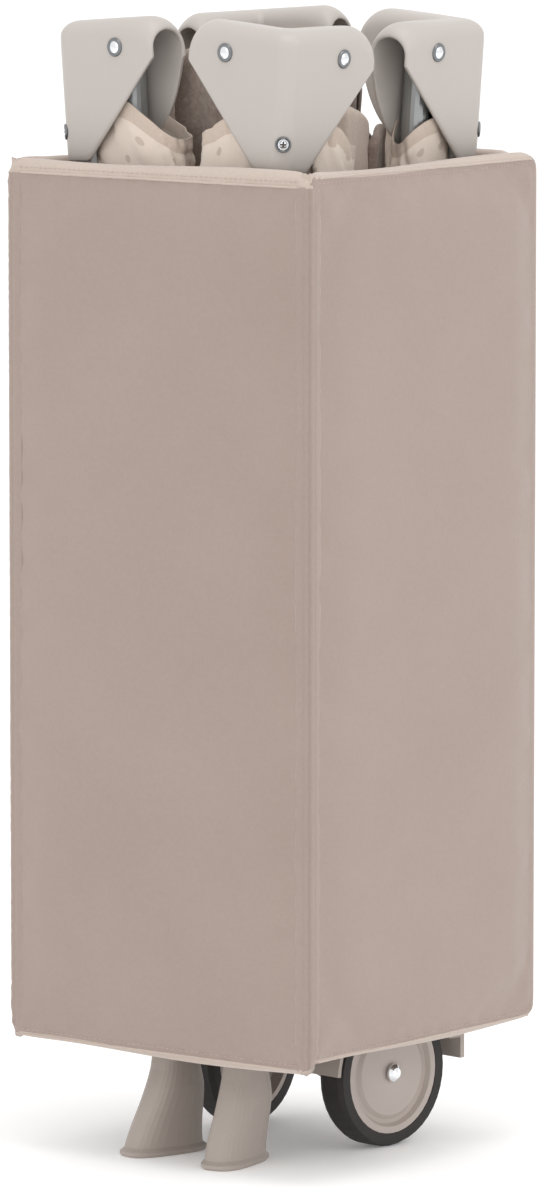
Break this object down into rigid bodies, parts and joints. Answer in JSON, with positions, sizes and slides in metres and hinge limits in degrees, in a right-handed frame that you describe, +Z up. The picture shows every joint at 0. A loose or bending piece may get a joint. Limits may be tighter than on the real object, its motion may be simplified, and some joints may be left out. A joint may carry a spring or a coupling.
{
  "type": "folded travel cot",
  "caption": "Folding playpen packed for carrying: a collapsed four-post steel frame on feet and wheels, with its padded folding floor wrapped round it",
  "frame": {"origin": "on the floor, under the centre of the wrap", "axes": "+Z up; -Y the wrap panel above the two feet, +X the panel that ends at the closure, wheels towards +Y"},
  "size_m": [0.262, 0.262, 0.7899],
  "materials": {
    "shell_plastic": "fine satin, warm light grey",
    "dark_plastic": "satin, dark warm grey",
    "steel_tube": "grey powder coat",
    "bright_steel": "polished",
    "tyre_rubber": "smooth, matt",
    "wrap_fabric": "tight plain weave over foam, taupe",
    "lining_fabric": "dotted knit, cream"
  },
  "bodies": {
    "end_frames": {"short_rail_fl": "steel_tube", "short_rail_fr": "steel_tube", "short_rail_bl": "steel_tube", "short_rail_br": "steel_tube", "latch_front": "shell_plastic", "latch_back": "shell_plastic", "hub": "shell_plastic", "hub_handle": "dark_plastic", "wall_fabric_front": "lining_fabric", "wall_fabric_back": "lining_fabric", "floor_fabric": "lining_fabric"},
    "left_side": {"head_fl": "shell_plastic", "head_bl": "shell_plastic", "post_fl": "steel_tube", "post_bl": "steel_tube", "long_rail_fl": "steel_tube", "long_rail_bl": "steel_tube", "short_rail_pin_fl": "bright_steel", "short_rail_pin_bl": "bright_steel", "long_rail_pin_fl": "bright_steel", "long_rail_pin_bl": "bright_steel", "latch_left": "shell_plastic", "foot_fl": "shell_plastic", "wheel_bracket_bl": "shell_plastic", "axle_bl": "bright_steel", "wall_fabric_left": "lining_fabric"},
    "right_side": {"head_fr": "shell_plastic", "head_br": "shell_plastic", "post_fr": "steel_tube", "post_br": "steel_tube", "long_rail_fr": "steel_tube", "long_rail_br": "steel_tube", "short_rail_pin_fr": "bright_steel", "short_rail_pin_br": "bright_steel", "long_rail_pin_fr": "bright_steel", "long_rail_pin_br": "bright_steel", "latch_right": "shell_plastic", "foot_fr": "shell_plastic", "wheel_bracket_br": "shell_plastic", "axle_br": "bright_steel", "wall_fabric_right": "lining_fabric"},
    "left_wheel": {"tyre_bl": "tyre_rubber", "wheel_hub_bl": "shell_plastic"},
    "right_wheel": {"tyre_br": "tyre_rubber", "wheel_hub_br": "shell_plastic"},
    "arm_fl": {"floor_arm_fl": "steel_tube"},
    "arm_fr": {"floor_arm_fr": "steel_tube"},
    "arm_bl": {"floor_arm_bl": "steel_tube"},
    "arm_br": {"floor_arm_br": "steel_tube"},
    "button_front": {"latch_button_front": "dark_plastic"},
    "button_back": {"latch_button_back": "dark_plastic"},
    "button_left": {"latch_button_left": "dark_plastic"},
    "button_right": {"latch_button_right": "dark_plastic"},
    "wrap_front": {"wrap_panel_front": "wrap_fabric"},
    "wrap_back": {"wrap_panel_back": "wrap_fabric"},
    "wrap_left": {"wrap_panel_left": "wrap_fabric"},
    "wrap_right": {"wrap_panel_right": "wrap_fabric"}
  },
  "joints": [
    {"name": "left_side_splay", "type": "hinge", "parent": "end_frames", "child": "left_side", "pos_m": [-0.05193, 0.00262, 0.768], "axis": [0.0523, 0.9986, 0], "range_deg": [0, 2]},
    {"name": "right_side_splay", "type": "hinge", "parent": "end_frames", "child": "right_side", "pos_m": [0.04793, -0.00262, 0.768], "axis": [-0.0523, -0.9986, 0], "range_deg": [0, 2]},
    {"name": "arm_pivot_fl", "type": "hinge", "parent": "end_frames", "child": "arm_fl", "pos_m": [-0.02444, -0.02686, 0.592], "axis": [0.0523, 0.9986, 0], "range_deg": [0, 2.8]},
    {"name": "arm_pivot_fr", "type": "hinge", "parent": "end_frames", "child": "arm_fr", "pos_m": [0.01751, -0.02906, 0.592], "axis": [-0.0523, -0.9986, 0], "range_deg": [0, 2.8]},
    {"name": "arm_pivot_bl", "type": "hinge", "parent": "end_frames", "child": "arm_bl", "pos_m": [-0.02151, 0.02906, 0.592], "axis": [0.0523, 0.9986, 0], "range_deg": [0, 2.8]},
    {"name": "arm_pivot_br", "type": "hinge", "parent": "end_frames", "child": "arm_br", "pos_m": [0.02044, 0.02686, 0.592], "axis": [-0.0523, -0.9986, 0], "range_deg": [0, 2.8]},
    {"name": "left_wheel_spin", "type": "hinge", "parent": "left_side", "child": "left_wheel", "pos_m": [-0.06338, 0.04616, 0.052], "axis": [0.9998, 0.0175, 0], "continuous": true},
    {"name": "right_wheel_spin", "type": "hinge", "parent": "right_side", "child": "right_wheel", "pos_m": [0.06387, 0.03949, 0.052], "axis": [0.9925, -0.1219, 0], "continuous": true},
    {"name": "latch_button_front_press", "type": "slide", "parent": "end_frames", "child": "button_front", "axis": [0.0523, 0.9986, 0], "range_m": [0, 0.0035], "stiffness_N_per_m": 400, "springref_m": -0.002},
    {"name": "latch_button_back_press", "type": "slide", "parent": "end_frames", "child": "button_back", "axis": [-0.0523, -0.9986, 0], "range_m": [0, 0.0035], "stiffness_N_per_m": 400, "springref_m": -0.002},
    {"name": "latch_button_left_press", "type": "slide", "parent": "left_side", "child": "button_left", "axis": [0.9953, -0.0522, 0.0819], "range_m": [0, 0.0035], "stiffness_N_per_m": 400, "springref_m": -0.002},
    {"name": "latch_button_right_press", "type": "slide", "parent": "right_side", "child": "button_right", "axis": [-0.9953, 0.0522, 0.0819], "range_m": [0, 0.0035], "stiffness_N_per_m": 400, "springref_m": -0.002},
    {"name": "wrap_lift", "type": "slide", "parent": "end_frames", "child": "wrap_front", "axis": [0, 0, 1], "range_m": [0, 0.72]},
    {"name": "wrap_right_hinge", "type": "hinge", "parent": "wrap_front", "child": "wrap_right", "pos_m": [0.131, -0.131, 0.3875], "axis": [0, 0, -1], "range_deg": [0, 90]},
    {"name": "wrap_left_hinge", "type": "hinge", "parent": "wrap_front", "child": "wrap_left", "pos_m": [-0.131, -0.131, 0.3875], "axis": [0, 0, 1], "range_deg": [0, 90]},
    {"name": "wrap_back_hinge", "type": "hinge", "parent": "wrap_left", "child": "wrap_back", "pos_m": [-0.131, 0.131, 0.3875], "axis": [0, 0, 1], "range_deg": [0, 90]}
  ],
  "couplings": [
    {"joint": "right_side_splay", "follows": "left_side_splay", "ratio": 1},
    {"joint": "arm_pivot_fl", "follows": "left_side_splay", "ratio": 1.367},
    {"joint": "arm_pivot_fr", "follows": "left_side_splay", "ratio": 1.367},
    {"joint": "arm_pivot_bl", "follows": "left_side_splay", "ratio": 1.367},
    {"joint": "arm_pivot_br", "follows": "left_side_splay", "ratio": 1.367}
  ]
}
